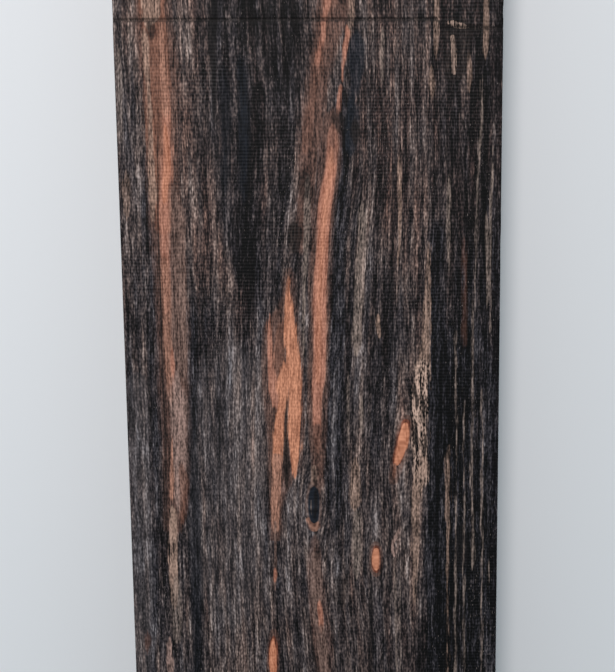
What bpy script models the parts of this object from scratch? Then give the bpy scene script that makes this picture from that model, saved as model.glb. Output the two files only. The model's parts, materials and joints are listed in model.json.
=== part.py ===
"""Sawn blank of dark ebony, lying flat on its underside.

Metres, +Z up. The origin is on the surface that the blank lies on, under the middle of the blank.
X runs across the grain (width), Y along the grain (length) and Z through the thickness.
"""

import math

import bmesh
import bpy
from mathutils import Matrix

# Driving dimensions, all in metres
WIDTH = 0.050
LENGTH = 0.300
THICKNESS = 0.025
EDGE_EASE = 0.0004
EDGE_STEPS = 2

# The saw stopped on the upper face and left a shallow line across the grain, which jogs near its right end
STOP_MARK_Y = 0.0411
STOP_MARK_JOG_X = 0.0175
STOP_MARK_JOG = 0.0010
STOP_MARK_WIDTH = 0.0005
STOP_MARK_DEPTH = 0.00015
STOP_MARK_OVERRUN = 0.004

WOOD_COLOUR = (0.045, 0.038, 0.042, 1.0)
WOOD_ROUGHNESS = 0.62


def clear_scene():
    for old in list(bpy.data.objects):
        bpy.data.objects.remove(old)


def new_collection(name):
    collection = bpy.data.collections.new(name)
    bpy.context.scene.collection.children.link(collection)
    return collection


def wood_material():
    material = bpy.data.materials.new("ebony")
    material.use_nodes = True
    shader = material.node_tree.nodes["Principled BSDF"]
    shader.inputs["Base Color"].default_value = WOOD_COLOUR
    shader.inputs["Roughness"].default_value = WOOD_ROUGHNESS
    shader.inputs["Metallic"].default_value = 0.0
    material.diffuse_color = WOOD_COLOUR
    return material


def as_object(name, shape, collection):
    mesh = bpy.data.meshes.new(name)
    shape.to_mesh(mesh)
    shape.free()
    made = bpy.data.objects.new(name, mesh)
    collection.objects.link(made)
    return made


def sawn_blank(collection):
    shape = bmesh.new()
    bmesh.ops.create_cube(shape, size=1.0)
    bmesh.ops.scale(shape, vec=(WIDTH, LENGTH, THICKNESS), verts=shape.verts)
    blank = as_object("ebony_blank", shape, collection)
    blank.location.z = THICKNESS / 2
    blank.data.materials.append(wood_material())
    return blank


def ease_edges(blank):
    bevel = blank.modifiers.new("eased_edges", "BEVEL")
    bevel.width = EDGE_EASE
    bevel.segments = EDGE_STEPS
    bevel.limit_method = "ANGLE"


def cut_stop_mark(blank, cutters, name, from_x, to_x, at_y):
    """A V groove: a four-sided bar standing on its edge, as deep as the mark, laid across the upper face."""
    shape = bmesh.new()
    bmesh.ops.create_cone(shape, cap_ends=True, segments=4, radius1=0.5, radius2=0.5, depth=1.0)
    bmesh.ops.rotate(shape, matrix=Matrix.Rotation(math.radians(90), 3, "Y"), verts=shape.verts)
    bar_size = (to_x - from_x, STOP_MARK_WIDTH, 2 * STOP_MARK_DEPTH)
    bmesh.ops.scale(shape, vec=bar_size, verts=shape.verts)
    cutter = as_object(name, shape, cutters)
    cutter.location = ((from_x + to_x) / 2, at_y, THICKNESS)
    cutter.hide_render = True
    cutter.display_type = "WIRE"
    cut = blank.modifiers.new(name, "BOOLEAN")
    cut.operation = "DIFFERENCE"
    cut.object = cutter


clear_scene()
parts = new_collection("gabon_ebony_blank")
cutters = new_collection("cutters")
blank = sawn_blank(parts)
ease_edges(blank)
mark_reach = WIDTH / 2 + STOP_MARK_OVERRUN
cut_stop_mark(blank, cutters, "stop_mark_left", -mark_reach, STOP_MARK_JOG_X, STOP_MARK_Y)
cut_stop_mark(blank, cutters, "stop_mark_right", STOP_MARK_JOG_X, mark_reach, STOP_MARK_Y - STOP_MARK_JOG)
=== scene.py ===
"""Looks of the sawn ebony blank: worn and chipped edges, the grain, and the photo's camera and light."""

import json
import math
from collections import namedtuple

import bpy
import numpy as np
from mathutils import Matrix, Vector, noise

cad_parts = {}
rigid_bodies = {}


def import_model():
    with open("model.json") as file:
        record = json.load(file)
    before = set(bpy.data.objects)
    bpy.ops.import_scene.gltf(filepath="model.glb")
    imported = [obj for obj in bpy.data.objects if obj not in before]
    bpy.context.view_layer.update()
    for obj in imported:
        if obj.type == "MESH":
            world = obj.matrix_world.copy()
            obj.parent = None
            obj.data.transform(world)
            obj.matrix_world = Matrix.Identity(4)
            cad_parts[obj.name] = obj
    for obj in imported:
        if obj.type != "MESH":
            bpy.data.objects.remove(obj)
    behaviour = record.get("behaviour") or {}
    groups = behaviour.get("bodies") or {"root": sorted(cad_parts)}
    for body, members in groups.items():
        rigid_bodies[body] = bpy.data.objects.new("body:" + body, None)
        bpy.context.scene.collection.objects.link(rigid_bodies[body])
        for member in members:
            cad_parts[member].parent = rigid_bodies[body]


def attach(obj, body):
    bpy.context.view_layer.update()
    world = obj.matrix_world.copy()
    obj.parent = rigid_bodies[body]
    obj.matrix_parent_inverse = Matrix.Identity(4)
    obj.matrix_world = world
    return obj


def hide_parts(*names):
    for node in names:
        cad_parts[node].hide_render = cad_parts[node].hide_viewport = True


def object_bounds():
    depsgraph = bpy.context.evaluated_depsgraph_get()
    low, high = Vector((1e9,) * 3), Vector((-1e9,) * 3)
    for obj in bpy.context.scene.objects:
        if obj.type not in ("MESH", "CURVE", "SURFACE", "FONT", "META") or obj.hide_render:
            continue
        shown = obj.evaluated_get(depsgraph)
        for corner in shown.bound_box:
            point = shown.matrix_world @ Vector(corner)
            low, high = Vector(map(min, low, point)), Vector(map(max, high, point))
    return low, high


for old in list(bpy.data.objects):
    bpy.data.objects.remove(old)
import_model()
CAD_LOW, CAD_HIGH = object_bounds()

MM = 0.001
HALF_WIDTH = (CAD_HIGH.x - CAD_LOW.x) / 2 / MM
HALF_LENGTH = (CAD_HIGH.y - CAD_LOW.y) / 2 / MM
THICKNESS = (CAD_HIGH.z - CAD_LOW.z) / MM

# The photo, in its own pixels
PHOTO_COLUMNS = 615
PHOTO_ROWS = 672
FOCAL_PIXELS = 1200
VANISHING_COLUMN = 407
VANISHING_ROW = 8090
FACE_MIDDLE_COLUMN = 311.9
FACE_WIDTH_COLUMNS = 376.0
STOP_MARK_ROW = 19
STOP_MARK_JOG_COLUMN = 440
STOP_MARK_JOG_ROW = 28

# How bright the lit face comes out for a wood colour of 1, in red, green and blue
LIGHT_LEVEL = (1.03, 1.06, 1.09)

# The saw's marks across the grain: their spacing in mm, and how they lean
SAW_PITCH = 0.441
SAW_LEAN = math.tan(math.radians(0.54))


def camera_rotation():
    """The camera's axes in the row frame: the grain runs to the vanishing point and the width is level."""
    away = Vector((VANISHING_COLUMN - PHOTO_COLUMNS / 2, PHOTO_ROWS / 2 - VANISHING_ROW, -FOCAL_PIXELS))
    grain = -away.normalized()
    across = Vector((grain.y, -grain.x, 0)).normalized()
    return Matrix((across, grain, across.cross(grain)))


def camera_place(rotation):
    """The camera's place in mm, which sets how wide the face is in the photo."""
    pixels_per_mm = FACE_WIDTH_COLUMNS / (2 * HALF_WIDTH)
    aim = Vector(((PHOTO_COLUMNS / 2 - FACE_MIDDLE_COLUMN) / pixels_per_mm, 0, THICKNESS))
    return aim + rotation @ Vector((0, 0, FOCAL_PIXELS / pixels_per_mm))


CAMERA_ROTATION = camera_rotation()
CAMERA_PLACE = camera_place(CAMERA_ROTATION)


def on_face(column, row):
    """The point of the upper face, in mm, that the photo shows at this pixel."""
    ray = CAMERA_ROTATION @ Vector((column - PHOTO_COLUMNS / 2, PHOTO_ROWS / 2 - row, -FOCAL_PIXELS))
    return CAMERA_PLACE + ray * ((THICKNESS - CAMERA_PLACE.z) / ray.z)


# A figure in the grain. Rows are (photo row, left column, right column) down its outline, past the photo's
# edge where it runs on. Soft is how wide its edge fades and ragged how far strands pull that edge, in mm.
Streak = namedtuple("Streak", "name dark light rows soft ragged strength taper harsh local")
# How far past its last row a streak and a pocket run out to a point, and how far an edge spreads, in mm
STREAK_TAPER = 1.6
POCKET_TAPER = 0.25
EDGE_BLEED = 0.08
# A soft change of tone: lift is in levels out of 255, and cool runs from -1, brown, to 1, blue.
Zone = namedtuple("Zone", "name lift cool rows soft")
ZONE_RAGGED = 0.8


def streak(name, colours, rows, soft=0.22, ragged=0.9, strength=1.0, taper=STREAK_TAPER, harsh=False):
    """A figure that goes down through the wood. A harsh one is mostly in its darkest and lightest tones."""
    return Streak(name, *colours, rows, soft, ragged, strength, taper, harsh, False)


def pocket(name, colours, rows, taper=POCKET_TAPER, **looks):
    """A figure that ends a few mm below the upper face."""
    return streak(name, colours, rows, taper=taper, **looks)._replace(local=True)


# Pairs of a darker and a lighter wood colour, out of 255
SALMON = ((136, 88, 72), (186, 132, 112))
ORANGE = ((168, 102, 74), (206, 142, 112))
FLAME = ((152, 97, 74), (208, 145, 115))
MOTTLED = ((104, 72, 60), (184, 136, 116))
RUST = ((86, 56, 46), (142, 98, 80))
UMBER = ((62, 46, 42), (142, 116, 106))
SAND = ((74, 60, 56), (176, 146, 136))
TAN = ((46, 36, 32), (178, 148, 132))
BROWN = ((36, 26, 24), (116, 86, 76))
GREY = ((34, 30, 30), (158, 140, 130))
TORN = ((8, 6, 6), (202, 172, 156))
RED_BROWN = ((70, 34, 24), (128, 70, 50))
HAZE = ((58, 55, 57), (100, 95, 97))
SOOT = ((10, 8, 8), (40, 33, 31))
BLACK = ((8, 7, 8), (24, 21, 22))
INK = ((12, 16, 23), (38, 43, 52))
DARK_INK = ((4, 6, 10), (24, 27, 34))

LEFT_FIGURE = (
    streak("edge_haze", HAZE, ((380, 124, 148), (450, 126, 150), (560, 129, 152), (680, 132, 152)),
           soft=1.0, ragged=1.2, strength=0.32),
    streak("low_haze", HAZE, ((370, 196, 266), (430, 190, 266), (520, 190, 264), (600, 200, 262)),
           soft=2.0, ragged=1.6, strength=0.2, taper=6.0),
    streak("left_halo", BROWN, (
        (-420, 150, 176), (-200, 140, 176), (0, 134, 170), (60, 138, 178), (92, 146, 178), (168, 146, 180),
        (260, 152, 186), (336, 156, 188), (454, 162, 190), (504, 165, 186), (530, 166, 182),
    ), soft=1.0, ragged=1.0, strength=0.75),
    streak("left_top_brown", RUST, (
        (-120, 140, 164), (0, 138, 166), (40, 141, 168), (80, 144, 171), (130, 146, 172), (168, 147, 172),
        (200, 150, 172), (230, 156, 172),
    ), soft=0.7, ragged=1.3, strength=0.8),
    streak("left_top_tan", TAN, ((-160, 136, 156), (0, 141, 161), (14, 141, 161), (26, 144, 152)),
           strength=0.8),
    streak("left_salmon", SALMON, (
        (84, 162, 168), (104, 162, 170), (131, 162, 171), (168, 160.5, 172), (201, 158, 170),
        (233, 159, 170), (259, 160, 170), (286, 162, 171), (310, 164, 170),
    ), soft=0.5, ragged=1.1, strength=0.8),
    streak("left_salmon_top", MOTTLED, (
        (20, 159.5, 161.5), (33, 159, 163.4), (59, 159.4, 165.4), (92, 160.6, 168.4), (112, 162, 169),
    ), soft=0.5, strength=0.85),
    streak("left_tan_main", MOTTLED, (
        (262, 160, 168), (299, 161.5, 172), (335, 162.5, 172), (362, 164, 174), (384, 167, 175),
        (402, 169, 174),
    ), soft=0.5, ragged=1.1, strength=0.75),
    streak("left_tan_beside", TAN, (
        (26, 142, 144), (46, 141, 150), (65, 142, 150), (78, 145, 150), (92, 146, 151), (131, 148, 153),
        (167, 147, 155), (190, 147, 157), (211, 150, 156), (222, 152, 154),
    ), ragged=0.8, strength=0.75),
    streak("left_between", UMBER, ((190, 169, 175), (260, 170, 178), (330, 171, 180), (376, 173, 182)),
           soft=0.6, strength=0.5),
    streak("left_brown_beside", UMBER, (
        (196, 174, 178), (224, 175, 184), (259, 176, 186), (300, 178, 187), (340, 178, 187),
        (362, 179, 186), (380, 181, 185),
    ), soft=0.5, ragged=1.0, strength=0.85),
    streak("left_saturated", ORANGE, ((128, 164, 167), (150, 163, 170), (180, 162, 170), (200, 162, 167)),
           soft=0.5, ragged=0.8, strength=0.55),
    streak("left_orange_foot", SALMON, (
        (350, 171, 173), (368, 170.5, 175.5), (380, 171, 175.5), (389, 172, 174),
    ), ragged=0.7, strength=0.85),
    streak("left_pale_brown", SAND, (
        (380, 171, 180), (406, 169, 187), (430, 170, 187), (460, 172, 187), (486, 174, 185),
        (504, 175, 182),
    ), soft=0.6, ragged=1.3, strength=0.8, taper=4.0),
    streak("left_orange_low", MOTTLED, (
        (440, 171, 173), (464, 170, 174), (480, 169.5, 174.5), (497, 170, 174),
    ), ragged=0.7, strength=0.9),
    streak("left_rust_low", RUST, ((466, 179, 184), (486, 178, 189), (505, 179, 188), (520, 180, 185)),
           soft=0.5, ragged=1.0, strength=0.5),
    streak("left_tan_low", TAN, ((510, 169, 176), (545, 168.5, 178), (589, 170, 179), (606, 172, 177)),
           strength=0.85),
    streak("left_ink_band", DARK_INK, (
        (392, 189, 192), (440, 187, 197), (504, 188, 201), (560, 190, 203), (610, 191, 203),
        (680, 190, 200),
    ), soft=0.9, ragged=1.3, strength=0.5),
    streak("left_grey_low", GREY, ((580, 173, 180), (610, 171, 182), (640, 173, 181)),
           ragged=1.0, strength=0.45),
    streak("left_end", SAND, ((640, 168, 171), (655, 167, 173), (700, 166, 173), (760, 167, 170)),
           strength=0.9),
    streak("left_reddish", RUST, ((632, 146, 149), (642, 144, 151), (652, 146, 149)),
           soft=0.4, strength=0.35),
    streak("left_blotch", SOOT, ((22, 148, 153), (28, 146, 155), (36, 147, 153)),
           soft=0.6, ragged=1.0, strength=0.75),
    streak("left_blotch_line", SOOT, ((30, 149, 151), (50, 150, 152), (74, 151, 153)),
           soft=0.4, ragged=0.8, strength=0.7),
    streak("left_side_line", BLACK, (
        (120, 157, 158), (168, 156, 159), (240, 157, 160), (336, 160, 163), (454, 164, 167),
        (520, 166, 168),
    ), ragged=0.3, strength=0.75),
    streak("edge_pale_line", GREY, ((-40, 126, 128), (0, 127, 129), (30, 128, 130), (46, 129, 131)),
           ragged=0.15, strength=0.8),
    streak("edge_pale_strip", GREY, ((48, 117, 120), (70, 116, 123), (124, 117, 124), (140, 119, 122)),
           ragged=0.8, strength=0.4),
    streak("edge_tan_patch", TAN, ((172, 124, 128), (190, 121, 131), (208, 122, 130), (216, 124, 128)),
           strength=0.45),
)

MIDDLE_FIGURE = (
    streak("upper_halo", BROWN, (
        (-300, 330, 352), (-100, 322, 350), (0, 316, 352), (40, 312, 340), (92, 304, 328), (131, 300, 324),
        (167, 298, 318), (220, 296, 312), (250, 298, 306),
    ), soft=1.2, ragged=1.2, strength=0.9),
    streak("upper_brown_orange", RUST, (
        (-160, 332, 346), (0, 321, 338), (16, 319, 332), (39, 317, 328), (59, 313, 323), (92, 308, 318),
        (120, 304, 314), (150, 302, 310),
    ), soft=0.7, ragged=1.4, strength=0.3),
    streak("upper_salmon", SALMON, (
        (-100, 330, 338), (0, 323, 332), (20, 321, 327), (44, 318, 324), (62, 315, 320),
    ), soft=0.4, strength=0.75),
    streak("upper_branch_brown", TAN, ((-60, 349, 354), (0, 348, 355), (33, 345, 352), (44, 345, 349)),
           ragged=0.8, strength=0.55),
    pocket("upper_branch_orange", SALMON, (
        (26, 345, 347.6), (32, 344, 350), (45, 342.6, 349), (59, 341.6, 346), (72, 341, 344),
        (81, 342, 343),
    ), soft=0.34, ragged=0.5, taper=0.8),
    pocket("upper_branch_salmon", SALMON, (
        (86, 339, 342), (96, 337, 342), (108, 335, 341), (116, 336, 339),
    ), soft=0.34, ragged=0.7, strength=0.75, taper=0.8),
    streak("long_halo", BROWN, (
        (118, 322, 340), (168, 318, 340), (233, 311, 333), (299, 309, 330), (375, 308, 329),
        (434, 308, 326), (470, 312, 324), (490, 314, 322),
    ), soft=0.8, ragged=0.7, strength=0.75),
    streak("long_salmon", SALMON, (
        (124, 331, 334), (132, 328, 337), (167, 324, 337), (201, 318, 333), (233, 316, 330),
        (259, 315, 328), (286, 313, 327), (336, 313, 327), (375, 312, 326), (401, 312, 322),
        (434, 313, 321), (452, 316, 319),
    ), soft=0.42, ragged=0.45),
    streak("long_head", BROWN, ((112, 331, 337), (126, 328, 339), (145, 327, 337), (160, 328, 336)),
           soft=0.9, strength=0.7),
    streak("long_bright", ORANGE, (
        (150, 329, 333), (201, 322, 330), (286, 316, 323), (336, 316, 322), (380, 316, 320),
    ), soft=0.8, ragged=0.5, strength=0.5),
    streak("long_foot", BROWN, ((430, 312, 322), (460, 314, 323), (476, 317, 322)),
           soft=0.5, ragged=0.8, strength=0.8),
    streak("grey_beside", GREY, (
        (176, 306, 309), (188, 304, 311), (230, 303, 310), (260, 302, 308), (299, 302, 307),
        (330, 301, 305), (360, 302, 304),
    ), ragged=0.7, strength=0.75),
)

FLAME_FIGURE = (
    pocket("flame_halo", BROWN, (
        (268, 287, 291), (300, 280, 296), (330, 263, 300), (388, 262, 304), (434, 266, 304),
        (467, 268, 300), (500, 269, 285), (540, 270, 281),
    ), soft=0.8, ragged=0.8, strength=0.75),
    pocket("flame_between", RUST, (
        (318, 282, 286), (334, 274, 286), (350, 272, 287), (372, 272, 287), (388, 276, 287),
    ), soft=0.6, ragged=1.6, strength=0.5, taper=1.2),
    pocket("flame_right_lobe", FLAME, (
        (276, 288, 289.4), (290, 286, 290.6), (302, 285, 292.6), (324, 284.6, 295.6), (344, 284.5, 298),
        (364, 286, 300.6), (384, 287, 301.6), (404, 287.6, 301.4), (434, 287, 300.6), (454, 290, 300),
        (466, 292, 297.4), (476, 294, 296),
    ), soft=0.3, ragged=1.0, taper=1.0),
    pocket("flame_left_strand", SALMON, (
        (314, 269, 270.8), (330, 266, 271.6), (350, 266, 272.4), (369, 267.4, 274), (384, 268, 280),
        (396, 270, 280), (406, 273, 279),
    ), soft=0.36, ragged=1.2, strength=0.88, taper=1.2),
    pocket("flame_centre", FLAME, (
        (364, 282, 287), (374, 279, 289), (386, 276, 289.6), (398, 279, 289), (410, 281, 286),
    ), soft=0.5, ragged=1.2, strength=0.95, taper=1.2),
    pocket("flame_lower_lobe", FLAME, (
        (404, 279, 284), (416, 275.6, 285), (432, 274, 285), (450, 273, 282.6), (468, 272, 281),
    ), soft=0.3, ragged=1.2, taper=1.0),
    pocket("flame_lower_foot", MOTTLED, (
        (456, 272, 281.6), (480, 271.4, 281), (504, 271, 280.4), (522, 271, 279), (532, 273, 277),
    ), soft=0.36, ragged=1.2, strength=0.95, taper=0.8),
    pocket("flame_thin_foot", UMBER, ((524, 273, 277), (560, 273.6, 277.4), (589, 274, 276)),
           ragged=0.5, strength=0.75, taper=1.0),
    pocket("flame_foot_dot", SALMON, ((568, 274, 276.4), (575, 273.4, 277.6), (582, 274, 276)), ragged=0.2),
    pocket("flame_wedge", SOOT, (
        (398, 286.4, 287.4), (416, 284.5, 288), (440, 283.5, 288.6), (470, 283.5, 290), (486, 285, 288),
    ), soft=0.3, ragged=0.5, strength=0.85, taper=1.4),
)

KNOT_FIGURE = (
    pocket("knot_tan_above", TAN, ((466, 312, 316), (476, 311, 318), (484, 311, 317)),
           soft=0.4, ragged=0.7, strength=0.6),
    pocket("knot_rim", UMBER, (
        (482, 310, 318), (490, 307, 320), (505, 305, 321.6), (518, 306, 321), (528, 309, 318),
    ), soft=0.5, ragged=1.1, strength=0.5),
    pocket("knot_rays", MOTTLED, ((518, 306, 311), (524, 306, 319), (531, 310, 317)),
           soft=0.5, ragged=1.1, strength=0.8),
    pocket("knot_heart", INK, (
        (488, 310.4, 317), (492, 308.6, 318.8), (505, 307, 320), (516, 307.8, 319.4), (522, 310, 317.4),
    ), soft=0.3, ragged=0.2, taper=0.4),
    pocket("knot_core", BLACK, ((490, 314, 317), (505, 313, 318), (519, 313, 316)),
           soft=0.4, ragged=0.3, strength=0.9),
    pocket("knot_glint", GREY, ((500, 310.4, 311.4), (508, 310, 311.6), (515, 310.6, 311.6)),
           ragged=0.2, strength=0.7),
)

SPOT_FIGURE = (
    pocket("lens_halo", BROWN, ((416, 402, 411), (440, 394, 411), (466, 390, 404), (484, 391, 396)),
           soft=0.5, ragged=0.8, strength=0.7),
    pocket("lens_rim", RED_BROWN, (
        (420, 403, 409), (430, 399, 410), (450, 393.6, 406.4), (464, 392.6, 400.6),
    ), soft=0.3, ragged=0.7, strength=0.8),
    pocket("lens_spot", ORANGE, (
        (423, 404, 407.6), (428, 401.4, 408.8), (436, 398.4, 408.8), (446, 396, 407.6), (454, 394.6, 404.6),
        (460, 394, 401.6), (465, 395, 398.6),
    ), soft=0.24, ragged=0.5),
    pocket("lens_tail", RUST, ((464, 393, 396), (471, 392, 396), (479, 393, 395)),
           ragged=0.3, strength=0.8),
    pocket("oval_halo", BROWN, ((542, 373, 379), (559, 369, 384), (576, 373, 379)),
           soft=0.4, ragged=0.4, strength=0.7),
    pocket("oval_rim", RED_BROWN, (
        (546, 373.8, 379), (552, 371.4, 381), (566, 371.2, 381), (572, 374, 378.6),
    ), soft=0.25, ragged=0.2, strength=0.75),
    pocket("oval_spot", ORANGE, (
        (548, 374.6, 378.4), (552, 372.6, 380), (559, 371.4, 380.8), (566, 372.4, 380), (570, 374.6, 378),
    ), soft=0.16, ragged=0.15, strength=0.95, taper=0.15),
    pocket("oval_vein", SAND, ((550, 379, 380), (560, 379, 380.6), (568, 378.6, 379.8)),
           soft=0.12, ragged=0.15, strength=0.7),
    pocket("low_halo", BROWN, ((630, 270, 277), (656, 266, 280), (700, 268, 278)),
           soft=0.4, ragged=0.4, strength=0.7),
    pocket("low_rim", RED_BROWN, ((636, 272, 274.6), (656, 267.4, 278.4), (675, 271.5, 276)),
           soft=0.2, ragged=0.3, strength=0.8),
    pocket("low_spot", ORANGE, (
        (639, 271.6, 273.6), (645, 269.6, 275.6), (654, 268.6, 277.2), (666, 269, 277.4), (676, 271, 275.6),
    ), soft=0.18, ragged=0.25),
    pocket("tan_hook", SAND, (
        (530, 396.6, 400), (537, 393, 398.6), (545, 390.8, 394.4), (550, 391, 394.6), (556, 392.6, 396),
    ), ragged=0.25),
    pocket("tan_hook_end", SAND, ((540, 396, 399.6), (547, 396.4, 399), (553, 395, 397.4)),
           ragged=0.25, strength=0.7),
    pocket("small_tan_oval", TAN, ((314, 377, 379), (322, 375, 380.5), (331, 376, 381), (338, 378, 380)),
           ragged=0.2, strength=0.85),
)

LOWER_FIGURE = (
    streak("low_streak_halo", BROWN, (
        (540, 310, 318), (600, 308, 326), (640, 312, 332), (672, 316, 332), (760, 320, 334),
    ), soft=0.7, ragged=0.8, strength=0.6),
    streak("low_streak_rust", UMBER, ((556, 312, 318), (580, 310, 321), (605, 312, 323), (625, 315, 324)),
           soft=0.5, strength=0.9),
    streak("low_streak_spot", SALMON, ((604, 317.4, 321.6), (618, 317.4, 324), (631, 319, 323)),
           soft=0.3, ragged=0.5),
    streak("low_streak_end", UMBER, ((628, 317, 325), (655, 318, 329), (690, 320, 330), (760, 324, 330)),
           soft=0.5, ragged=1.0, strength=0.8),
    streak("low_streak_line", BLACK, (
        (570, 302, 304), (590, 304, 306), (630, 309, 312), (672, 315, 318), (720, 320, 322),
    ), ragged=0.25, strength=0.8),
    streak("low_blotch", SOOT, ((576, 336, 342), (585, 335, 349), (600, 337, 346), (608, 339, 343)),
           soft=0.9, ragged=2.0, strength=0.6),
    streak("grey_low_one", GREY, ((376, 347, 349), (400, 346, 350), (440, 347, 350), (452, 348, 350)),
           ragged=0.4, strength=0.7),
    streak("grey_low_two", GREY, ((396, 360, 362), (412, 359, 364), (430, 360, 363)),
           ragged=0.4, strength=0.75),
    streak("grey_low_three", TAN, ((462, 352, 358), (480, 350, 361), (500, 349, 361), (508, 352, 358)),
           soft=0.3, strength=0.7),
    streak("grey_low_four", GREY, ((512, 354, 359), (530, 351, 362), (560, 352, 361), (576, 354, 359)),
           soft=0.3, strength=0.75),
    streak("black_strip_low", BLACK, ((584, 370, 372), (610, 368, 374), (672, 368, 373), (760, 369, 372)),
           ragged=0.4, strength=0.8),
    streak("pale_low_one", GREY, ((556, 393, 395), (600, 394, 397), (672, 395, 398), (720, 396, 398)),
           ragged=0.4, strength=0.6),
    streak("pale_low_two", GREY, ((560, 399, 401), (620, 398.6, 401), (672, 399, 401)),
           ragged=0.3, strength=0.6),
)

UPPER_FIGURE = (
    streak("upper_black_line", BLACK, (
        (-200, 265, 268), (0, 267, 270), (168, 267, 270), (200, 270, 273), (336, 271, 274), (380, 272, 274),
    ), ragged=0.3, strength=0.7),
    streak("upper_black_strip", BLACK, (
        (-40, 211, 216), (24, 208, 218), (50, 208, 217), (76, 211, 217), (120, 213, 217),
    ), soft=0.5, ragged=0.7, strength=0.95),
    streak("ink_band_one", DARK_INK, (
        (56, 238, 242), (84, 236, 248), (130, 237, 250), (164, 238, 249), (200, 241, 246),
    ), soft=0.9, ragged=0.8),
    streak("ink_band_two", DARK_INK, ((66, 222, 226), (96, 219, 231), (150, 219, 231), (190, 222, 229)),
           soft=1.0, ragged=1.0, strength=0.85),
    streak("upper_blotch_one", SOOT, ((224, 290, 298), (232, 286, 304), (245, 288, 302), (252, 292, 298)),
           soft=0.7, ragged=1.1, strength=0.9),
    streak("upper_blotch_two", SOOT, ((174, 300, 308), (184, 296, 313), (195, 299, 309)),
           soft=0.6, strength=0.6),
    streak("ink_patch_one", INK, (
        (34, 352, 360), (44, 348, 366), (62, 347, 367), (80, 350, 362), (96, 350, 358),
    ), soft=0.7, ragged=0.7, strength=0.75),
    streak("ink_patch_two", INK, ((98, 349, 355), (112, 346, 359), (140, 345, 359), (152, 347, 355)),
           soft=0.6, ragged=0.6, strength=0.75),
    streak("ink_blotch", SOOT, ((122, 352, 358), (132, 350, 361), (142, 353, 358)),
           soft=0.4, ragged=0.6, strength=0.8),
    streak("gap_above_long", SOOT, ((114, 332, 342), (120, 330, 344), (126, 334, 341)),
           soft=0.5, ragged=0.5, strength=0.7),
    streak("pale_top_one", GREY, ((30, 381, 384), (45, 380, 385), (70, 380, 384), (82, 381, 383)),
           ragged=0.4, strength=0.7),
    streak("tan_upper_line", TAN, (
        (156, 399, 401), (168, 397.5, 402), (200, 397, 402), (240, 398, 401.5), (262, 397, 399),
    ), ragged=0.35, strength=0.8),
    streak("tan_upper_wide", GREY, (
        (206, 360, 365), (220, 358, 367), (241, 357, 366), (290, 354, 364), (335, 352, 362),
        (352, 354, 360),
    ), soft=0.35, strength=0.75),
    streak("black_upper_line", BLACK, (
        (160, 392, 393), (180, 391, 394), (260, 391, 394), (336, 391, 394), (360, 391, 393),
    ), ragged=0.25, strength=0.8),
    streak("top_tan_one", TAN, ((-60, 432, 438), (6, 433, 440), (30, 433, 440), (54, 434, 438)),
           ragged=0.5, strength=0.55),
    streak("top_tan_two", TAN, ((70, 429, 433), (84, 428, 435), (98, 430, 433)), ragged=0.4, strength=0.6),
    streak("top_tan_three", TAN, ((-80, 485, 492), (20, 483, 490), (40, 483, 490), (56, 484, 487)),
           ragged=0.5, strength=0.6),
    streak("top_tan_four", TAN, ((56, 467, 471), (70, 466, 473), (87, 467, 471)), ragged=0.5, strength=0.5),
)

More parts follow.
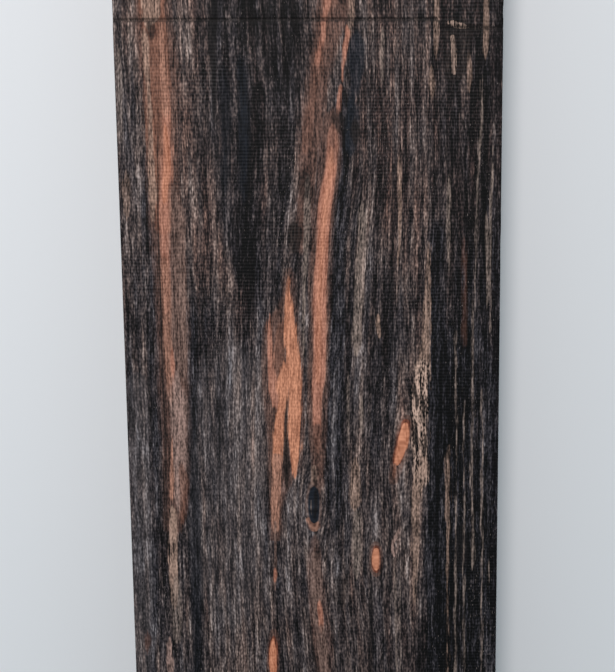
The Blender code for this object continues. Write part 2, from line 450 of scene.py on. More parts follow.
RIGHT_FIGURE = (
    streak("right_line_long", GREY, (
        (80, 481, 483), (105, 480, 484), (168, 477, 480), (260, 475, 477), (336, 471.5, 474),
        (414, 471, 473.6), (504, 470.5, 474), (562, 470.5, 474), (567, 471, 473),
    ), soft=0.25, strength=0.8),
    streak("right_line_outer", GREY, (
        (214, 486, 488), (240, 485, 489.5), (292, 485.5, 489), (310, 486, 487),
    ), ragged=0.3, strength=0.7),
    streak("right_line_inner", GREY, (
        (176, 448, 450), (200, 446.5, 451.5), (253, 446.5, 450.5), (268, 448, 450),
    ), ragged=0.4, strength=0.7),
    streak("tan_growing", TAN, (
        (244, 428, 430), (262, 426.5, 430.5), (299, 425, 431), (335, 422, 431), (355, 418, 431),
        (372, 415, 430), (384, 414, 428),
    ), soft=0.3, ragged=1.3, strength=0.75),
    streak("tan_rough", TORN, (
        (366, 414, 430), (410, 411, 428), (440, 410, 428), (467, 413, 428), (486, 415, 426),
    ), soft=0.5, ragged=1.8, strength=0.85, harsh=True),
    streak("torn_pit_one", BLACK, ((384, 413, 416), (392, 412, 418), (402, 414, 419), (410, 415, 418)),
           strength=0.9),
    streak("torn_pit_two", BLACK, ((398, 421, 424), (408, 420, 425), (421, 421, 424)), strength=0.9),
    streak("torn_pit_three", BLACK, ((428, 414, 417), (440, 413, 419), (452, 415, 418)), strength=0.85),
    streak("torn_pit_four", BLACK, ((434, 424, 426), (446, 422, 427), (456, 423, 426)), strength=0.85),
    streak("tan_falling", TAN, (
        (462, 417, 429), (482, 412, 425), (504, 410.5, 421), (540, 411, 419), (580, 412, 418),
        (600, 413, 416),
    ), soft=0.4, ragged=1.4, strength=0.7),
    streak("right_tan_line", TAN, (
        (446, 447, 449), (470, 445, 450), (520, 445, 450), (552, 446, 449), (672, 446.6, 448.6),
        (900, 447, 449),
    ), soft=0.25, ragged=1.1, strength=0.65),
    streak("right_grey_line", GREY, (
        (392, 481, 483), (420, 480.5, 483.5), (540, 480, 483), (672, 480, 482.4), (900, 480, 482),
    ), soft=0.25, ragged=1.0, strength=0.65),
    streak("right_black_patch", BLACK, ((530, 456, 466), (545, 454, 469), (563, 454, 469), (566, 455, 468)),
           soft=0.2, ragged=0.5, strength=0.85),
    streak("right_short_line", GREY, ((562, 488, 490), (572, 487.6, 490.4), (582, 488.4, 490)),
           soft=0.12, ragged=0.2, strength=0.8),
    streak("right_line_four", GREY, ((150, 492, 494), (190, 490, 493), (260, 489, 491), (330, 489, 491)),
           soft=0.2, ragged=0.8, strength=0.7),
    streak("right_line_five", GREY, (
        (330, 455, 457), (420, 455, 457.5), (470, 455, 457), (640, 454, 456.6), (760, 454, 456),
    ), soft=0.2, strength=0.7),
    streak("right_line_six", GREY, ((400, 463, 465), (520, 463, 465), (600, 462.6, 465), (700, 463, 465)),
           soft=0.2, strength=0.6),
    # Pale flecks near the top right of the upper face, and a dark patch by them.
    pocket("dark_patch_by_pale_flecks", SOOT, ((18, 446, 466), (28, 444, 476), (40, 446, 474), (80, 448, 462)),
           soft=0.5, ragged=1.6, strength=0.7),
    pocket("pale_flecks_one", TORN, ((21, 448, 457), (24, 450, 466), (27, 455, 468)),
           soft=0.3, ragged=1.9, strength=0.5, harsh=True),
    pocket("pale_flecks_two", TORN, ((36, 450, 455), (50, 451, 457), (74, 452, 456)),
           soft=0.3, ragged=1.2, strength=0.45, harsh=True),
    streak("right_reddish", RUST, ((240, 463, 466), (280, 462, 467), (330, 462, 467), (345, 463, 466)),
           soft=0.5, ragged=1.1, strength=0.25),
)

# Beyond the photo, towards both ends of the blank
OUTER_FIGURE = (
    streak("far_salmon", SALMON, (
        (-760, 220, 224), (-640, 214, 230), (-480, 210, 228), (-330, 216, 226), (-260, 220, 223),
    ), soft=0.4, ragged=0.6, strength=0.9),
    streak("far_tan", TAN, ((-800, 392, 398), (-600, 388, 402), (-420, 392, 401), (-300, 395, 398)),
           strength=0.7),
    streak("far_orange", ORANGE, ((-420, 372, 374), (-380, 368, 379), (-330, 370, 378), (-300, 373, 375)),
           ragged=0.3),
    streak("near_salmon", SALMON, ((860, 228, 231), (980, 222, 238), (1160, 226, 240), (1290, 232, 237)),
           soft=0.4, ragged=0.6, strength=0.9),
    streak("near_rust", RUST, ((800, 366, 372), (960, 360, 378), (1150, 358, 372), (1300, 360, 366)),
           soft=0.5, strength=0.7),
    streak("near_orange", ORANGE, ((1010, 330, 332), (1040, 326, 336), (1085, 327, 335), (1110, 330, 332)),
           ragged=0.3),
)

# Each set is laid over the ones before it
FIGURES = {
    "left_figure": LEFT_FIGURE,
    "middle_figure": MIDDLE_FIGURE,
    "upper_figure": UPPER_FIGURE,
    "flame_figure": FLAME_FIGURE,
    "lower_figure": LOWER_FIGURE,
    "right_figure": RIGHT_FIGURE,
    "outer_figure": OUTER_FIGURE,
    "knot_figure": KNOT_FIGURE,
    "spot_figure": SPOT_FIGURE,
}

# Soft changes of tone in the ground
ZONES = (
    Zone("upper_brown", 13, -0.6, ((-300, 108, 320), (0, 110, 320), (120, 150, 310), (200, 170, 290)), 6.0),
    Zone("upper_right_brown", -6, -0.5, ((-300, 340, 505), (0, 345, 505), (150, 345, 505)), 6.0),
    Zone("upper_middle", -10, 0.0, ((150, 345, 410), (240, 345, 415), (340, 345, 405)), 4.0),
    Zone("upper_dark", -33, 0.6, (
        (-200, 206, 300), (0, 205, 304), (120, 206, 300), (180, 212, 290), (230, 218, 282),
    ), 3.0),
    Zone("centre_dark", -12, 0.2, ((256, 222, 280), (336, 230, 272)), 2.5),
    Zone("band_by_long_streak", -20, 0.8, (
        (110, 334, 352), (168, 332, 350), (240, 330, 347), (336, 329, 346), (450, 326, 342),
        (520, 330, 340),
    ), 1.2),
    Zone("right_third", -27, 0.3, (
        (-100, 470, 505), (60, 450, 505), (200, 436, 505), (300, 432, 505), (400, 428, 505),
        (672, 425, 505), (1200, 420, 505),
    ), 2.4),
    Zone("right_ink", -14, 1.0, (
        (240, 428, 445), (400, 428, 446), (504, 428, 444), (620, 428, 441), (800, 428, 440),
    ), 1.2),
    Zone("right_low_cool", -6, 0.8, ((380, 425, 505), (480, 428, 505), (672, 428, 505), (900, 425, 505)),
         3.0),
    Zone("left_ink", -8, 0.7, (
        (210, 141, 157), (335, 143, 158), (400, 149, 161), (504, 149, 162), (580, 148, 161),
        (700, 146, 158),
    ), 1.4),
    Zone("left_ink_right", -18, 0.8, ((320, 187, 199), (504, 187, 199), (582, 190, 202), (760, 190, 204)),
         1.4),
    Zone("edge_pale", 4, 0.2, ((-100, 108, 134), (336, 122, 140), (400, 126, 144)), 1.6),
    Zone("edge_low", 48, 0.6, ((450, 127, 148), (500, 129, 150), (556, 130, 150)), 1.3),
    Zone("edge_end", 8, 0.2, ((600, 130, 149), (760, 132, 150), (1000, 136, 152)), 2.0),
    Zone("grey_ribbon", 14, -0.2, (
        (150, 352, 366), (214, 355, 368), (336, 350, 366), (440, 347, 366), (572, 350, 364),
        (760, 348, 362),
    ), 1.4),
    Zone("pale_ribbon_left", 9, 0.0, ((340, 222, 250), (460, 222, 254), (560, 215, 258), (660, 215, 258)),
         2.4),
    Zone("low_middle_pale", 9, 0.2, ((390, 190, 410), (450, 190, 410), (520, 190, 410)), 3.0),
    Zone("rough_area", 20, -0.4, (
        (330, 412, 430), (390, 398, 428), (450, 392, 428), (520, 396, 424), (600, 408, 420),
    ), 2.0),
)


def linear(colour):
    """The wood's own colour for a photo colour out of 255."""
    shares = [part / 255 for part in colour]
    values = [s / 12.92 if s <= 0.04045 else ((s + 0.055) / 1.055) ** 2.4 for s in shares]
    return (*(value / level for value, level in zip(values, LIGHT_LEVEL)), 1.0)


class Graph:
    """Adds nodes to a material, each fed with numbers or with other nodes' outputs."""

    def __init__(self, tree):
        self.tree = tree

    def node(self, kind, *values, **settings):
        made = self.tree.nodes.new(kind)
        made.location.x = 180 * (len(self.tree.nodes) % 40)
        made.location.y = -240 * (len(self.tree.nodes) // 40)
        for key, value in settings.items():
            setattr(made, key, value)
        for socket, value in zip(made.inputs, values):
            self.feed(socket, value)
        return made

    def feed(self, socket, value):
        if isinstance(value, bpy.types.NodeSocket):
            self.tree.links.new(value, socket)
        elif value is not None:
            socket.default_value = value

    def math(self, operation, *values):
        return self.node("ShaderNodeMath", *values, operation=operation).outputs[0]

    def use(self, tree, *values):
        """The one result of a node group that is fed with these values."""
        return self.node("ShaderNodeGroup", *values, node_tree=tree).outputs[0]

    def add(self, first, second):
        return self.math("ADD", first, second)

    def scale_add(self, value, scale, offset):
        return self.math("MULTIPLY_ADD", value, scale, offset)

    def ramp(self, value, low, high, to_low=0.0, to_high=1.0, smooth=False):
        kind = "SMOOTHSTEP" if smooth else "LINEAR"
        made = self.node("ShaderNodeMapRange", value, low, high, to_low, to_high, interpolation_type=kind)
        return made.outputs[0]

    def stretched_noise(self, place, size, detail=0.0, roughness=0.5):
        """Noise from 0 to 1 whose lumps have the given size along each axis of place."""
        shares = [1 / length for length in size]
        scaled = self.node("ShaderNodeVectorMath", place, shares, operation="MULTIPLY").outputs[0]
        made = self.node("ShaderNodeTexNoise", scaled)
        made.inputs["Scale"].default_value = 1.0
        made.inputs["Detail"].default_value = detail
        made.inputs["Roughness"].default_value = roughness
        return made.outputs[0]

    def grey(self, value):
        """A colour whose three parts are all this value."""
        return self.node("ShaderNodeCombineColor", value, value, value).outputs[0]

    def mix(self, share, first, second, blend="MIX"):
        made = self.node("ShaderNodeMix", data_type="RGBA", blend_type=blend)
        self.feed(made.inputs[0], share)
        self.feed(made.inputs[6], first)
        self.feed(made.inputs[7], second)
        return made.outputs[2]

    def curve(self, value, table):
        """A smooth curve through the (value, height) points of table, level before and after them."""
        made = self.node("ShaderNodeFloatCurve", 1.0, value)
        made.mapping.use_clip = False
        points = made.mapping.curves[0].points
        points[1].location = table[-1]
        points[0].location = table[0]
        for at, height in table[1:-1]:
            points.new(at, height)
        for point in points:
            point.handle_type = "AUTO_CLAMPED"
        made.mapping.update()
        return made.outputs[0]


def new_group(name, numbers, colours, result):
    """A node group that turns numbers and colours into one result: its tree, graph and what it is given."""
    tree = bpy.data.node_groups.new(name, "ShaderNodeTree")
    for label in numbers:
        tree.interface.new_socket(label, in_out="INPUT", socket_type="NodeSocketFloat")
    for label in colours:
        tree.interface.new_socket(label, in_out="INPUT", socket_type="NodeSocketColor")
    tree.interface.new_socket("Result", in_out="OUTPUT", socket_type=result)
    graph = Graph(tree)
    given = graph.node("NodeGroupInput").outputs
    return tree, graph, {label: given[label] for label in (*numbers, *colours)}


def mask_of(graph, given, rows, soft, ragged, strength, taper):
    """Strength inside the outline that rows gives, and 0 outside it. Strands pull its edge in and out."""
    points = []
    for row, left, right in rows:
        first, last = on_face(left, row), on_face(right, row)
        points.append(((first.y + last.y) / 2, (first.x + last.x) / 2, (last.x - first.x) / 2))
    points.sort()
    closed = -(soft + ragged) / 2
    (low, low_middle, _), (high, high_middle, _) = points[0], points[-1]
    points = [(low - taper, low_middle, closed), *points, (high + taper, high_middle, closed)]
    middle = graph.curve(given["Along"], [(y, at) for y, at, _ in points])
    half = graph.curve(given["Along"], [(y, wide - ragged / 2 - EDGE_BLEED) for y, _, wide in points])
    half = graph.scale_add(given["Strand"], ragged, half)
    off = graph.math("ABSOLUTE", graph.math("SUBTRACT", given["Across"], middle))
    return graph.ramp(graph.math("SUBTRACT", half, off), -soft / 2, soft / 2, 0.0, strength, smooth=True)


# What a zone and a figure are given: the place in mm, the strands' noise and shade, and 1 near the face
PLACE_NUMBERS = ("Across", "Along", "Strand")
FIGURE_NUMBERS = (*PLACE_NUMBERS, "Shade", "Near")
# The part of the strands' shade that a harsh figure spreads over its two colours
HARSH_SHADES = (0.22, 0.74)


def zone_group(zone):
    """1 inside a zone, fading to 0 outside it."""
    tree, graph, given = new_group(zone.name, PLACE_NUMBERS, (), "NodeSocketFloat")
    mask = mask_of(graph, given, zone.rows, zone.soft, ZONE_RAGGED, 1.0, 4 * zone.soft)
    graph.node("NodeGroupOutput", mask)
    return tree


def figure_group(figure):
    """Lays a figure's colour, darker or lighter with the strands' shade, over the wood's colour."""
    tree, graph, given = new_group(figure.name, FIGURE_NUMBERS, ("Wood",), "NodeSocketColor")
    mask = mask_of(graph, given, figure.rows, figure.soft, figure.ragged, figure.strength, figure.taper)
    if figure.local:
        mask = graph.math("MULTIPLY", mask, given["Near"])
    shade = graph.ramp(given["Shade"], *HARSH_SHADES) if figure.harsh else given["Shade"]
    own = graph.mix(shade, linear(figure.dark), linear(figure.light))
    graph.node("NodeGroupOutput", graph.mix(mask, given["Wood"], own))
    return tree


def figures_group(name, figures):
    """Several figures, each laid over the ones before it."""
    tree, graph, given = new_group(name, FIGURE_NUMBERS, ("Wood",), "NodeSocketColor")
    colour = given["Wood"]
    numbers = [given[label] for label in FIGURE_NUMBERS]
    for figure in figures:
        colour = graph.use(figure_group(figure), *numbers, colour)
    graph.node("NodeGroupOutput", colour)
    return tree


# The growth rings are arcs round the pith, which lies left of the blank. All in mm.
PITH_X = -72.0
PITH_Z = -6.0
# The depths between which pockets fade out, and the grain's larger clouds come in
POCKET_END = (5.0, 11.0)
CLOUDS_START = (4.0, 12.0)
# How far from the middle, along the grain, the part that the photo shows ends
PHOTO_END = (47.0, 56.0)
# How far figures step along and sway across the grain for each mm of depth
DEPTH_STEP = 0.6
DEPTH_SWAY = 0.3

# Point is x, y and z. Near is 1 by the upper face, and outer is 1 in the wood that the photo doesn't show.
Place = namedtuple("Place", "across along point depth near outer")


def ring_place(graph):
    """Where a point lies in the wood, in mm. A figure of the upper face goes down along its growth ring."""
    where = graph.node("ShaderNodeTexCoord").outputs["Object"]
    in_mm = graph.node("ShaderNodeVectorMath", where, (1 / MM,) * 3, operation="MULTIPLY").outputs[0]
    x, y, z = graph.node("ShaderNodeSeparateXYZ", in_mm).outputs
    depth = graph.math("SUBTRACT", THICKNESS, z)
    from_pith = graph.math("SUBTRACT", x, PITH_X)
    above_pith = graph.math("SUBTRACT", z, PITH_Z)
    squared = graph.math("MULTIPLY", above_pith, above_pith)
    squared = graph.math("MULTIPLY_ADD", from_pith, from_pith, squared)
    flat = graph.math("SUBTRACT", squared, (THICKNESS - PITH_Z) ** 2)
    ring = graph.add(graph.math("SQRT", graph.math("MAXIMUM", flat, 1.0)), PITH_X)
    sway = graph.math("SUBTRACT", graph.stretched_noise(in_mm, (30, 60, 14), 1.0), 0.5)
    ring = graph.math("MULTIPLY_ADD", sway, graph.math("MULTIPLY", depth, DEPTH_SWAY), ring)
    along = graph.scale_add(depth, DEPTH_STEP, y)
    near = graph.ramp(depth, *POCKET_END, 1.0, 0.0, smooth=True)
    past_photo = graph.ramp(graph.math("ABSOLUTE", y), *PHOTO_END, smooth=True)
    outer = graph.math("MAXIMUM", past_photo, graph.ramp(depth, *CLOUDS_START, smooth=True))
    return Place(ring, along, (x, y, z), depth, near, outer)


# How far the grain leans to the right, as (mm along, mm across), round LEAN_MIDDLE and out to LEAN_REACH
LEAN = (
    (-60, 0.0), (-46, -0.3), (-32, -1.0), (-13, -0.6), (0, 0.0), (13, 0.8), (25, 2.0), (42, 1.6), (60, 0.0),
)
LEAN_MIDDLE = 2.0
LEAN_REACH = 18.0
# Where the grain swirls round the knot and the spots: the photo's column and row, then sizes and push in mm
Swirl = namedtuple("Swirl", "column row half_width half_length push")
SWIRLS = (
    Swirl(313, 505, 1.6, 4.5, 1.2),
    Swirl(402, 446, 1.2, 4.0, 0.7),
    Swirl(376, 559, 1.0, 2.4, 0.5),
)
# Keeps a swirl's push finite at its centre
SWIRL_CORE = 0.6


def swirled(graph, place, across, swirl):
    """Across, with the grain pushed outward round one swirl."""
    centre = on_face(swirl.column, swirl.row)
    dx = graph.math("SUBTRACT", place.across, centre.x)
    dy = graph.math("SUBTRACT", place.along, centre.y)
    wide = graph.math("MULTIPLY", dx, 1 / swirl.half_width)
    long = graph.math("MULTIPLY", dy, 1 / swirl.half_length)
    spread = graph.math("MULTIPLY_ADD", long, long, SWIRL_CORE)
    spread = graph.math("MULTIPLY_ADD", wide, wide, spread)
    pull = graph.math("MULTIPLY", graph.math("DIVIDE", wide, spread), place.near)
    return graph.math("MULTIPLY_ADD", pull, -swirl.push, across)


def grain_place(graph, place):
    """The grain's own coordinates, which lean and swirl with the figures: mm across, through and along."""
    shift = graph.curve(place.along, LEAN)
    off = graph.math("ABSOLUTE", graph.math("SUBTRACT", place.across, LEAN_MIDDLE))
    weight = graph.ramp(off, 0.0, LEAN_REACH, 1.0, 0.0, smooth=True)
    across = graph.math("SUBTRACT", place.across, graph.math("MULTIPLY", shift, weight))
    for swirl in SWIRLS:
        across = swirled(graph, place, across, swirl)
    _, _, z = place.point
    return graph.node("ShaderNodeCombineXYZ", across, z, place.along).outputs[0]


Fibres = namedtuple("Fibres", "speck fine medium wide strand")


def wood_fibres(graph, grain):
    """Noise drawn out along the grain, each from 0 to 1. Sizes are in mm across, through and along it."""
    speck = graph.stretched_noise(grain, (0.18, 0.18, 0.45))
    fine = graph.stretched_noise(grain, (0.26, 0.26, 2.8), 1.0, 0.9)
    medium = graph.stretched_noise(grain, (0.55, 0.55, 9.5), 1.0, 1.0)
    wide = graph.stretched_noise(grain, (1.9, 1.9, 34.0), 1.0, 0.7)
    strand = graph.stretched_noise(grain, (0.22, 0.22, 3.2), 1.0, 0.8)
    return Fibres(speck, fine, medium, wide, strand)


# The ground's colours out of 255, from tone 0 to tone 1, and how many levels a whole tone spans
GROUND = (
    (0.0, (5, 4, 4)), (0.16, (22, 19, 20)), (0.36, (52, 45, 46)), (0.62, (98, 85, 81)),
    (1.0, (176, 158, 150)),
)
GROUND_LEVELS = 150
GROUND_TONE = 0.385
# What blue and brown wood are multiplied by
BLUE = (0.8, 0.97, 1.15, 1)
BROWNER = (1.2, 0.94, 0.84, 1)
UNCHANGED = (1, 1, 1, 1)


def ground_colour(graph, tone):
    made = graph.node("ShaderNodeValToRGB", tone)
    stops = made.color_ramp.elements
    while len(stops) < len(GROUND):
        stops.new(0.5)
    for stop, (at, shade) in zip(stops, GROUND):
        stop.position = at
        stop.color = linear(shade)
    return made.outputs[0]


def wood_base(graph, place, grain, fibres):
    """The dark ground of the wood, as a colour."""
    cloud = graph.stretched_noise(grain, (7.0, 7.0, 60.0), 1.0)
    tone = graph.scale_add(fibres.speck, 0.6, -0.3)
    tone = graph.add(tone, graph.scale_add(fibres.fine, 1.0, -0.5))
    tone = graph.add(tone, graph.scale_add(fibres.medium, 0.9, -0.45))
    tone = graph.add(tone, graph.scale_add(fibres.wide, 0.75, -0.375))
    tone = graph.add(tone, graph.math("MULTIPLY", graph.scale_add(cloud, 0.8, -0.4), place.outer))
    tone = graph.add(tone, GROUND_TONE)
    cool = graph.stretched_noise(grain, (0.9, 0.9, 11.0), 1.0)
    cool = graph.scale_add(cool, 3.0, -1.3)
    for zone in ZONES:
        mask = graph.use(zone_group(zone), place.across, place.along, fibres.strand)
        tone = graph.scale_add(mask, zone.lift / GROUND_LEVELS, tone)
        cool = graph.scale_add(mask, zone.cool, cool)
    colour = ground_colour(graph, tone)
    blue = graph.mix(graph.ramp(cool, 0.0, 1.2), UNCHANGED, BLUE)
    brown = graph.mix(graph.ramp(cool, 0.0, -1.2), UNCHANGED, BROWNER)
    colour = graph.mix(1.0, colour, blue, "MULTIPLY")
    return graph.mix(1.0, colour, brown, "MULTIPLY")


def paint_figures(graph, place, colour, strand, shade):
    for name, figures in FIGURES.items():
        tree = figures_group(name, figures)
        colour = graph.use(tree, place.across, place.along, strand, shade, place.near, colour)
    return colour


def pores(graph, grain, colour):
    """Pale flecks and dark pits where the saw opened the vessels: the colour, and how deep a pit is."""
    fleck = graph.stretched_noise(grain, (0.13, 0.13, 0.4))
    crowd = graph.stretched_noise(grain, (3.0, 3.0, 12.0), 1.0)
    level = graph.math("MULTIPLY_ADD", crowd, 0.3, fleck)
    pale = graph.ramp(level, 0.9, 1.05, 0.0, 0.5, smooth=True)
    colour = graph.mix(pale, colour, linear((150, 138, 134)))
    pit = graph.stretched_noise(grain, (0.14, 0.14, 1.1))
    dark = graph.ramp(pit, 0.36, 0.24, 0.0, 0.85, smooth=True)
    return graph.mix(dark, colour, linear((17, 14, 14))), dark


def saw_marks(graph, place):
    """Fine ridges across the grain, from -1 to 1, stronger in some places than in others."""
    x, y, z = place.point
    where = graph.node("ShaderNodeCombineXYZ", x, z, y).outputs[0]
    waver = graph.stretched_noise(where, (14, 14, 5), 1.0)
    phase = graph.math("MULTIPLY_ADD", x, SAW_LEAN, graph.math("MULTIPLY", waver, 0.5))
    phase = graph.math("MULTIPLY", graph.add(phase, y), 2 * math.pi / SAW_PITCH)
    strength = graph.ramp(graph.stretched_noise(where, (9, 9, 9), 1.0), 0.35, 0.7, 0.2, 1.0)
    fade = graph.ramp(y, -12.0, 12.0, 0.6, 1.3)
    return graph.math("MULTIPLY", graph.math("SINE", phase), graph.math("MULTIPLY", strength, fade))


def stop_mark(graph, place):
    """How deep a point lies in the line that the saw left across the upper face, from 0 to 1."""
    x, y, _ = place.point
    jog = on_face(STOP_MARK_JOG_COLUMN, STOP_MARK_ROW)
    lower = on_face(STOP_MARK_JOG_COLUMN, STOP_MARK_JOG_ROW)
    past = graph.ramp(x, jog.x - 0.4, jog.x + 0.4)
    line = graph.scale_add(past, lower.y - jog.y, jog.y)
    line = graph.add(line, graph.scale_add(x, -SAW_LEAN, SAW_LEAN * jog.x))
    off = graph.math("ABSOLUTE", graph.math("SUBTRACT", y, line))
    on_top = graph.ramp(place.depth, 0.6, 0.3)
    return graph.math("MULTIPLY", graph.ramp(off, 0.42, 0.16, smooth=True), on_top)


def marked_with_painted_saw_shade(graph, colour, rough, saw, mark):
    """The colour, lighter and darker with the fibres, with painted light and shade along the saw marks'
    ridges, and dark in the stop mark.
    """
    # Painted light and shade: the saw ridges lighter and the hollows between them darker.
    tone = graph.scale_add(saw, 0.07, 1.0)
    tone = graph.math("MULTIPLY", tone, graph.ramp(rough, 0.5, 1.1, 0.8, 1.2))
    colour = graph.mix(1.0, colour, graph.grey(tone), "MULTIPLY")
    # Painted sheen: a little light added on the saw ridges and taken off between them.
    colour = graph.mix(1.0, colour, graph.grey(graph.math("MULTIPLY", saw, 0.0045)), "ADD")
    return graph.mix(graph.math("MULTIPLY", mark, 0.6), colour, linear((20, 17, 16)))


def relief(graph, fibres, saw, pit):
    """How high the sawn surface stands, from its fibres, saw marks and pores, as a normal."""
    height = graph.scale_add(fibres.medium, 0.5, graph.math("MULTIPLY", fibres.fine, 0.4))
    height = graph.math("MULTIPLY_ADD", saw, 0.35, height)
    height = graph.math("MULTIPLY_ADD", pit, -0.8, height)
    bump = graph.node("ShaderNodeBump")
    bump.inputs["Strength"].default_value = 0.6
    bump.inputs["Distance"].default_value = 0.03 * MM
    graph.feed(bump.inputs["Height"], height)
    return bump.outputs[0]


def ebony_material():
    material = bpy.data.materials.new("sawn_ebony")
    material.use_nodes = True
    graph = Graph(material.node_tree)
    shader = material.node_tree.nodes["Principled BSDF"]
    place = ring_place(graph)
    grain = grain_place(graph, place)
    fibres = wood_fibres(graph, grain)
    # Figures wander a little off their outlines
    wander = graph.scale_add(graph.stretched_noise(grain, (2.5, 2.5, 9.0), 1.0), 0.3, -0.15)
    place = place._replace(across=graph.add(place.across, wander), along=graph.add(place.along, wander))
    colour = wood_base(graph, place, grain, fibres)
    rough = graph.scale_add(fibres.speck, 0.6, fibres.fine)
    shade = graph.ramp(graph.math("MULTIPLY_ADD", fibres.medium, 0.6, rough), 0.82, 1.38)
    colour, pit = pores(graph, grain, colour)
    colour = paint_figures(graph, place, colour, fibres.strand, shade)
    saw = saw_marks(graph, place)
    # The saw ridges also get painted light and shade in the colour, besides their bump.
    colour = marked_with_painted_saw_shade(graph, colour, rough, saw, stop_mark(graph, place))
    normal = relief(graph, fibres, saw, pit)
    graph.feed(shader.inputs["Base Color"], colour)
    graph.feed(shader.inputs["Roughness"], graph.ramp(fibres.medium, 0.3, 0.7, 0.66, 0.52))
    graph.feed(shader.inputs["Normal"], normal)
    shader.inputs["Specular IOR Level"].default_value = 0.12
    return material


# The mesh, in mm: its steps by an edge, across, through and along, and over the stop mark
EDGE_STEPS = (0.0, 0.1, 0.22, 0.38, 0.7)
ACROSS_STEP = 1.1
THROUGH_STEP = 1.3
ALONG_STEP = 0.65
MARK_STEP = 0.1
MARK_REACH = 1.1
# How the edges are worn and chipped and the faces sawn, in mm
EDGE_RADIUS = 0.2
EDGE_WEAR = 0.1
CHIPS = 46
WAVE_DEPTH = 0.035
MARK_DEPTH = 0.12
MARK_HALF_WIDTH = 0.2
NEAR_FACE = 0.5
# The page that the faces are unwrapped on: each strip's width, the gap, and where the ends lie in theirs
STRIPS = {"top": 0.385, "under": 0.24, "left": 0.115, "right": 0.115, "ends": 0.11}
STRIP_GAP = 0.006
END_TALL = 0.24
FAR_END_AT = 0.5


def lattice(low, high, spacing):
    """Steps from low to high, with finer ones by both ends."""
    inset = EDGE_STEPS[-1]
    steps = [low + step for step in EDGE_STEPS] + [high - step for step in EDGE_STEPS]
    count = round((high - low - 2 * inset) / spacing)
    steps += [low + inset + (high - low - 2 * inset) * i / count for i in range(1, count)]
    return np.array(sorted(steps))


def finer(steps, middle, reach, step):
    """The steps with finer ones round middle."""
    kept = [s for s in steps if abs(s - middle) > reach]
    return np.array(sorted(kept + list(np.arange(middle - reach, middle + reach + step / 2, step))))


def side_faces(rows, columns, layers):
    """The faces of the four long sides, each between one ring of points and the next, and their sides."""
    around = 2 * (columns + layers)
    corners = (0, columns, columns + layers, 2 * columns + layers, around)
    faces = []
    sides = []
    for side, first, last in zip(("top", "right", "under", "left"), corners, corners[1:]):
        for row in range(rows - 1):
            for k in range(first, last):
                a, b = row * around + k, row * around + (k + 1) % around
                faces.append((a, b, b + around, a + around))
                sides.append(side)
    return faces, sides


def blank_mesh():
    """A closed lattice on the blank's box: its points in mm, its faces, and the side that each is on."""
    mark = on_face(STOP_MARK_JOG_COLUMN, (STOP_MARK_ROW + STOP_MARK_JOG_ROW) / 2).y
    xs = lattice(-HALF_WIDTH, HALF_WIDTH, ACROSS_STEP)
    zs = lattice(0, THICKNESS, THROUGH_STEP)
    ys = finer(lattice(-HALF_LENGTH, HALF_LENGTH, ALONG_STEP), mark, MARK_REACH, MARK_STEP)
    ring = [(x, THICKNESS) for x in xs[:-1]] + [(HALF_WIDTH, z) for z in zs[:0:-1]]
    ring += [(x, 0) for x in xs[:0:-1]] + [(-HALF_WIDTH, z) for z in zs[:-1]]
    points = [(x, y, z) for y in ys for x, z in ring]
    number = {point: index for index, point in enumerate(points)}
    faces, sides = side_faces(len(ys), len(xs) - 1, len(zs) - 1)
    for end, y in (("near", ys[0]), ("far", ys[-1])):
        for x in xs[1:-1]:
            for z in zs[1:-1]:
                number[(x, y, z)] = len(points)
                points.append((x, y, z))
        for left, right in zip(xs, xs[1:]):
            for low, high in zip(zs, zs[1:]):
                corners = ((left, low), (right, low), (right, high), (left, high))
                face = [number[(x, y, z)] for x, z in corners]
                faces.append(tuple(face if end == "near" else face[::-1]))
                sides.append(end)
    return np.array(points), faces, sides


def eased(points):
    """Moves each point of the box's surface onto a box with rounded edges, more worn in some places."""
    low = np.array([-HALF_WIDTH, -HALF_LENGTH, 0.0])
    high = np.array([HALF_WIDTH, HALF_LENGTH, THICKNESS])
    wear = np.array([noise.noise(Vector((x * 0.6, y * 0.12, z * 0.6))) for x, y, z in points])
    radius = EDGE_RADIUS + EDGE_WEAR * wear
    inner = np.clip(points, low + radius[:, None], high - radius[:, None])
    away = points - inner
    return inner + away / np.linalg.norm(away, axis=1)[:, None] * radius[:, None]


def chipped(points, rng):
    """Splinters torn out of the long edges: shallow scoops, long along the grain."""
    moved = points.copy()
    for _ in range(CHIPS):
        side = rng.choice([-1, 1])
        level = rng.choice([0.0, THICKNESS])
        centre = np.array([side * HALF_WIDTH, rng.uniform(-HALF_LENGTH, HALF_LENGTH), level])
        size = np.array([rng.uniform(0.2, 0.6), rng.uniform(0.8, 3.0), rng.uniform(0.2, 0.6)])
        near = 1 - np.linalg.norm((points - centre) / size, axis=1)
        scoop = np.clip(near, 0, 1) ** 0.7 * rng.uniform(0.05, 0.16)
        inward = np.array([-side, 0.0, 1.0 if level == 0 else -1.0]) / math.sqrt(2)
        moved += scoop[:, None] * inward
    return moved


def sawn(points):
    """Cuts the saw's slow waves into the upper face and the sides, and its stop mark into the upper face."""
    moved = points.copy()
    jog = on_face(STOP_MARK_JOG_COLUMN, STOP_MARK_ROW)
    lower = on_face(STOP_MARK_JOG_COLUMN, STOP_MARK_JOG_ROW)
    for index, (x, y, z) in enumerate(points):
        wave = 0.5 + 0.5 * noise.noise(Vector((x * 0.04, y * 0.16, z * 0.04)))
        sunk = WAVE_DEPTH * wave
        if z > THICKNESS - NEAR_FACE:
            line = (lower.y if x > jog.x else jog.y) - SAW_LEAN * (x - jog.x)
            sunk += MARK_DEPTH * math.exp(-(((y - line) / MARK_HALF_WIDTH) ** 2))
            moved[index][2] -= sunk
        elif z > NEAR_FACE and abs(x) > HALF_WIDTH - NEAR_FACE:
            moved[index][0] -= math.copysign(sunk, x)
    return moved


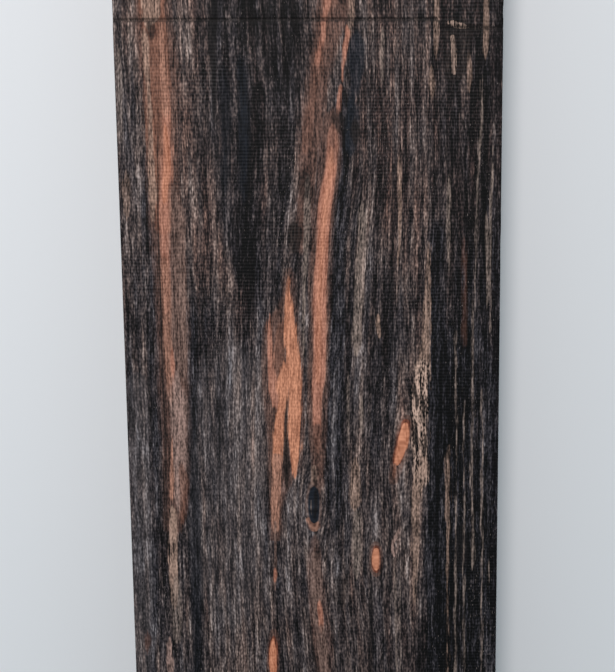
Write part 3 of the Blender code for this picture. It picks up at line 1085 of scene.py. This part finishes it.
def unwrap(mesh, flat_points, faces, sides):
    """Each long side of the blank as a strip with the grain up the page, and both ends in one more strip."""
    starts = {}
    at = STRIP_GAP / 2
    for name, width in STRIPS.items():
        starts[name] = at
        at += width + STRIP_GAP
    tall = 1 - 2 * STRIP_GAP
    corners = []
    for face, side in zip(faces, sides):
        strip = side if side in STRIPS else "ends"
        for index in face:
            x, y, z = flat_points[index]
            across = (x + HALF_WIDTH) / (2 * HALF_WIDTH)
            along = (y + HALF_LENGTH) / (2 * HALF_LENGTH)
            share = across if side in ("top", "under") else z / THICKNESS
            if side in ("under", "right", "far"):
                share = 1 - share
            if strip == "ends":
                height = (STRIP_GAP if side == "near" else FAR_END_AT) + across * END_TALL
            else:
                height = STRIP_GAP + along * tall
            corners.append((starts[strip] + share * STRIPS[strip], height))
    layer = mesh.uv_layers.new(name="OFBake")
    layer.data.foreach_set("uv", np.array(corners, np.float32).ravel())


def build_blank():
    rng = np.random.default_rng(7)
    flat_points, faces, sides = blank_mesh()
    shaped = chipped(sawn(eased(flat_points)), rng)
    mesh = bpy.data.meshes.new("ebony_wood")
    mesh.from_pydata((shaped * MM).tolist(), [], faces)
    unwrap(mesh, flat_points, faces, sides)
    mesh.shade_smooth()
    mesh.materials.append(ebony_material())
    blank = bpy.data.objects.new("ebony_wood", mesh)
    bpy.context.scene.collection.objects.link(blank)
    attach(blank, "root")
    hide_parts("ebony_blank")


def build_stage():
    """A plain pale floor."""
    material = bpy.data.materials.new("pale_floor")
    material.use_nodes = True
    shader = material.node_tree.nodes["Principled BSDF"]
    shader.inputs["Base Color"].default_value = (0.8, 0.81, 0.82, 1)
    shader.inputs["Roughness"].default_value = 0.95
    shader.inputs["Specular IOR Level"].default_value = 0.1
    bpy.ops.mesh.primitive_plane_add(size=6.0, location=(0, 0, 0))
    floor = bpy.context.object
    floor.name = "floor"
    floor.data.materials.append(material)


def area_light(name, place, size, power, colour):
    """A round light that faces the origin, with its place and size in metres and its power in watts."""
    data = bpy.data.lights.new(name, "AREA")
    data.shape = "DISK"
    data.size = size
    data.energy = power
    data.color = colour
    light = bpy.data.objects.new(name, data)
    light.location = place
    light.rotation_euler = (-Vector(place)).to_track_quat("-Z", "Y").to_euler()
    bpy.context.scene.collection.objects.link(light)


def build_light():
    area_light("lamp_above", (-0.033, 0.18, 0.32), 0.06, 0.74, (1.0, 0.94, 0.93))
    area_light("left_fill", (-0.4, 0.3, 0.3), 0.3, 0.36, (1.0, 1.0, 1.0))
    world = bpy.data.worlds.new("soft_room")
    world.use_nodes = True
    background = world.node_tree.nodes["Background"]
    background.inputs["Color"].default_value = (0.79, 0.92, 1.0, 1)
    background.inputs["Strength"].default_value = 0.5
    bpy.context.scene.world = world


def build_camera():
    data = bpy.data.cameras.new("photo_camera")
    data.sensor_width = 36.0
    data.lens = data.sensor_width * FOCAL_PIXELS / PHOTO_ROWS
    data.clip_start = 0.01
    camera = bpy.data.objects.new("photo_camera", data)
    camera.matrix_world = Matrix.Translation(CAMERA_PLACE * MM) @ CAMERA_ROTATION.to_4x4()
    bpy.context.scene.collection.objects.link(camera)
    bpy.context.scene.camera = camera


build_blank()
build_stage()
build_light()
build_camera()
bpy.context.scene.view_settings.view_transform = "Standard"
